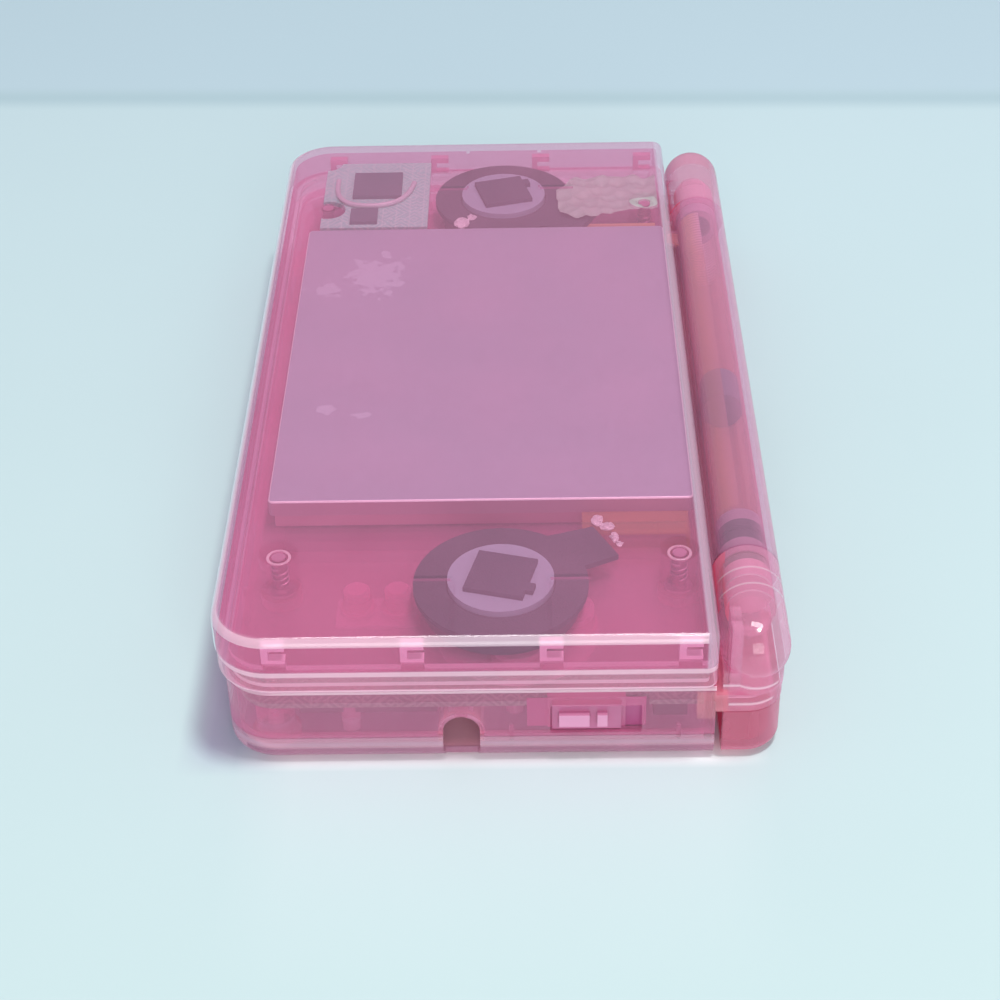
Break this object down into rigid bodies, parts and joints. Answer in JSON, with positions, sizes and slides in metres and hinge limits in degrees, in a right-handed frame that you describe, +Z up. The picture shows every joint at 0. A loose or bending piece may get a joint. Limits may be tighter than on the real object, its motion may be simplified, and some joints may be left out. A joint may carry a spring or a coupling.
{
  "type": "clamshell handheld game console",
  "caption": "Closed two-screen clamshell handheld in clear plastic, with a hinged lid, shoulder buttons, slides, card slots and its inner parts.",
  "frame": {"origin": "on the table under the middle of the closed case", "axes": "+X along the hinge towards the end with the power slide, +Y towards the hinge, +Z up"},
  "size_m": [0.133, 0.0738, 0.0215],
  "materials": {
    "clear_shell": "clear moulded, polished",
    "clear_button": "clear moulded, polished",
    "steel": "plain stamped",
    "display_plate": "satin",
    "dark_plastic": "matt",
    "display_glass": "glossy",
    "circuit_board": "lacquered",
    "rubber": "matt",
    "foam": "open foam",
    "flex_film": "glossy film",
    "tape": "crumpled cloth tape",
    "white_plastic": "glossy"
  },
  "bodies": {
    "base": {"bottom_case": "clear_shell", "control_deck": "clear_shell", "battery_cover": "clear_shell", "battery_cover_screw": "steel", "battery": "dark_plastic", "main_board": "circuit_board", "wireless_board": "circuit_board", "shield_can": "steel", "card_slot": "steel", "cartridge_slot_frame": "steel", "cartridge_connector": "dark_plastic", "headphone_jack": "dark_plastic", "charge_socket": "steel", "power_switch_unit": "steel", "volume_switch_unit": "dark_plastic", "lower_display": "display_glass", "touch_panel": "display_glass", "pad_mat": "rubber", "face_mat": "rubber", "small_button_mat": "rubber", "shoulder_pins": "steel", "shoulder_springs": "steel", "shoulder_switches": "dark_plastic", "case_screws": "steel", "rubber_feet": "rubber", "light_pipes": "white_plastic", "hinge_key": "steel", "hinge_bush": "white_plastic"},
    "lid": {"lid_outer_cover": "clear_shell", "lid_inner_frame": "clear_shell", "upper_window": "display_glass", "upper_display": "display_glass", "display_back_plate": "display_plate", "speaker_left": "steel", "speaker_right": "steel", "speaker_gaskets": "foam", "speaker_pads": "foam", "antenna_board": "circuit_board", "antenna_parts": "dark_plastic", "flex_tape": "tape", "lid_flex": "flex_film", "speaker_lead": "flex_film", "microphone": "dark_plastic", "lid_screws": "steel", "screw_caps": "rubber", "hinge_clutch": "dark_plastic"},
    "power_slide": {"power_knob": "clear_button"},
    "volume_slide": {"volume_knob": "clear_button"},
    "slot_cover": {"cartridge_slot_cover": "clear_shell"},
    "pad_pivot": {"pad_hub": "rubber"},
    "pad": {"directional_pad": "clear_button"},
    "top_button": {"face_button_top": "clear_button"},
    "right_button": {"face_button_right": "clear_button"},
    "bottom_button": {"face_button_bottom": "clear_button"},
    "left_button": {"face_button_left": "clear_button"},
    "start": {"start_button": "clear_button"},
    "select": {"select_button": "clear_button"},
    "left_shoulder": {"shoulder_button_left": "clear_button"},
    "right_shoulder": {"shoulder_button_right": "clear_button"}
  },
  "joints": [
    {"name": "lid_hinge", "type": "hinge", "parent": "base", "child": "lid", "pos_m": [0, 0.0324, 0.0162], "axis": [-1, 0, 0], "range_deg": [0, 155]},
    {"name": "power_slide", "type": "slide", "parent": "base", "child": "power_slide", "axis": [0, 1, 0], "range_m": [0, 0.0024], "stiffness_N_per_m": 250, "springref_m": -0.001},
    {"name": "volume_slide", "type": "slide", "parent": "base", "child": "volume_slide", "axis": [1, 0, 0], "range_m": [0, 0.006]},
    {"name": "slot_cover_slide", "type": "slide", "parent": "base", "child": "slot_cover", "axis": [0, -1, 0], "range_m": [0, 0.03]},
    {"name": "pad_rock_front_back", "type": "hinge", "parent": "base", "child": "pad_pivot", "pos_m": [-0.05, 0.002, 0.00965], "axis": [1, 0, 0], "range_deg": [-2, 2], "stiffness_Nm_per_rad": 0.1},
    {"name": "pad_rock_side", "type": "hinge", "parent": "pad_pivot", "child": "pad", "pos_m": [-0.05, 0.002, 0.00965], "axis": [0, 1, 0], "range_deg": [-2, 2], "stiffness_Nm_per_rad": 0.1},
    {"name": "top_button_press", "type": "slide", "parent": "base", "child": "top_button", "axis": [0, 0, -1], "range_m": [0, 0.0006], "stiffness_N_per_m": 700, "springref_m": -0.0005},
    {"name": "right_button_press", "type": "slide", "parent": "base", "child": "right_button", "axis": [0, 0, -1], "range_m": [0, 0.0006], "stiffness_N_per_m": 700, "springref_m": -0.0005},
    {"name": "bottom_button_press", "type": "slide", "parent": "base", "child": "bottom_button", "axis": [0, 0, -1], "range_m": [0, 0.0006], "stiffness_N_per_m": 700, "springref_m": -0.0005},
    {"name": "left_button_press", "type": "slide", "parent": "base", "child": "left_button", "axis": [0, 0, -1], "range_m": [0, 0.0006], "stiffness_N_per_m": 700, "springref_m": -0.0005},
    {"name": "start_press", "type": "slide", "parent": "base", "child": "start", "axis": [0, 0, -1], "range_m": [0, 0.0006], "stiffness_N_per_m": 700, "springref_m": -0.0005},
    {"name": "select_press", "type": "slide", "parent": "base", "child": "select", "axis": [0, 0, -1], "range_m": [0, 0.0006], "stiffness_N_per_m": 700, "springref_m": -0.0005},
    {"name": "left_shoulder_press", "type": "hinge", "parent": "base", "child": "left_shoulder", "pos_m": [-0.0483, 0.0324, 0.0045], "axis": [0, 0, 1], "range_deg": [0, 2.5], "stiffness_Nm_per_rad": 0.3, "springref_deg": -1.72},
    {"name": "right_shoulder_press", "type": "hinge", "parent": "base", "child": "right_shoulder", "pos_m": [0.0483, 0.0324, 0.0045], "axis": [0, 0, -1], "range_deg": [0, 2.5], "stiffness_Nm_per_rad": 0.3, "springref_deg": -1.72}
  ]
}
